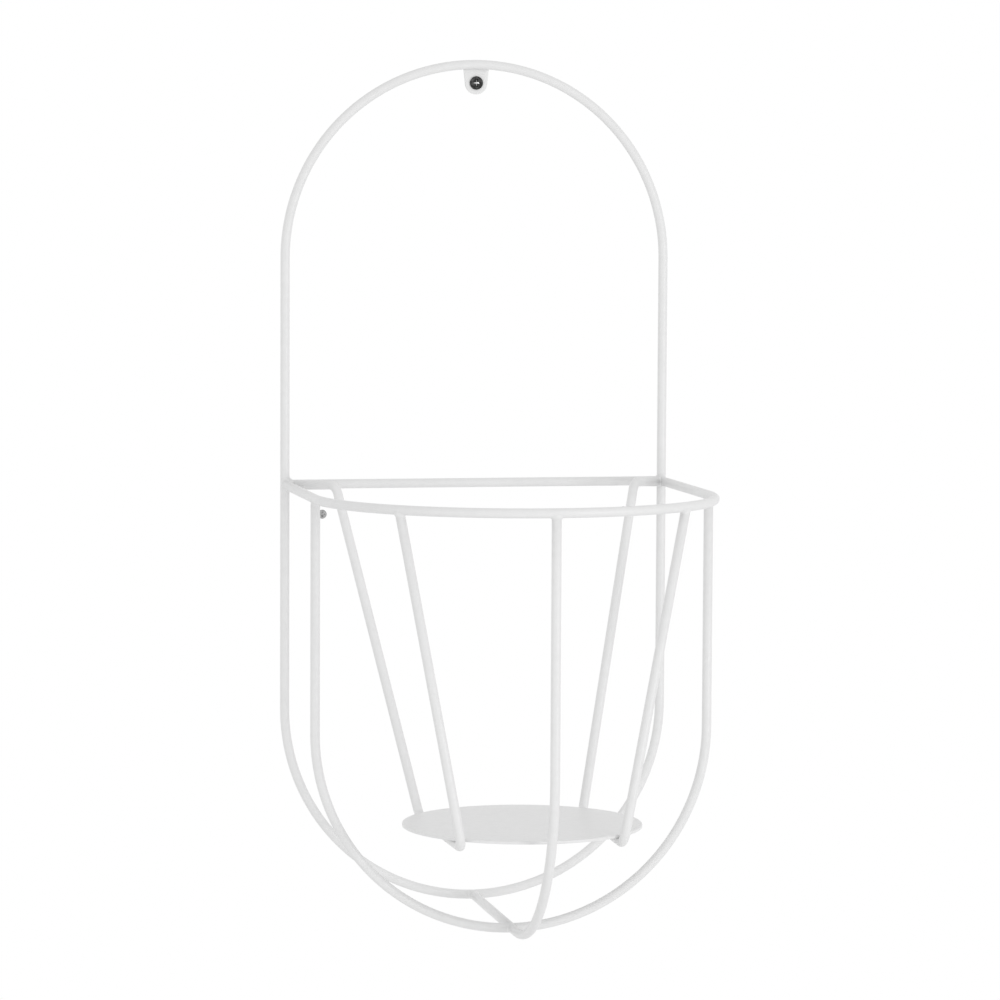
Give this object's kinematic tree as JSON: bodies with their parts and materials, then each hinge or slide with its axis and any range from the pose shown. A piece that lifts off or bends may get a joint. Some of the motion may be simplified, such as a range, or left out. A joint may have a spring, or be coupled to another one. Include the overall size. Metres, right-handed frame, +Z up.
{
  "type": "wall planter",
  "caption": "Wall planter of bent round rod: closed oval frame on the wall, U-shaped rim, hanging front hoop and rib, and a cradle that carries a round plate for a flower pot.",
  "frame": {"origin": "axis of the top screw on the wall surface, the point that the planter hangs from", "axes": "+X to the right seen from the front, -Y out of the wall towards the viewer, +Z up; X = 0 is the middle plane"},
  "size_m": [0.2812, 0.3058, 0.6008],
  "materials": {
    "powder_coat": "white powder coat, satin",
    "screw_steel": "dark zinc-plated steel"
  },
  "bodies": {
    "root": {"wall_frame": "powder_coat", "back_bar": "powder_coat", "rim_hoop": "powder_coat", "front_hoop": "powder_coat", "front_rib": "powder_coat", "bottom_stay": "powder_coat", "cradle_wire_left": "powder_coat", "cradle_wire_right": "powder_coat", "pot_plate": "powder_coat", "hanging_tab": "powder_coat", "top_screw": "screw_steel", "lower_screws": "screw_steel", "back_corner_welds": "powder_coat", "hoop_welds": "powder_coat", "cradle_leg_welds": "powder_coat", "rib_top_weld": "powder_coat", "bottom_welds": "powder_coat"}
  },
  "joints": []
}
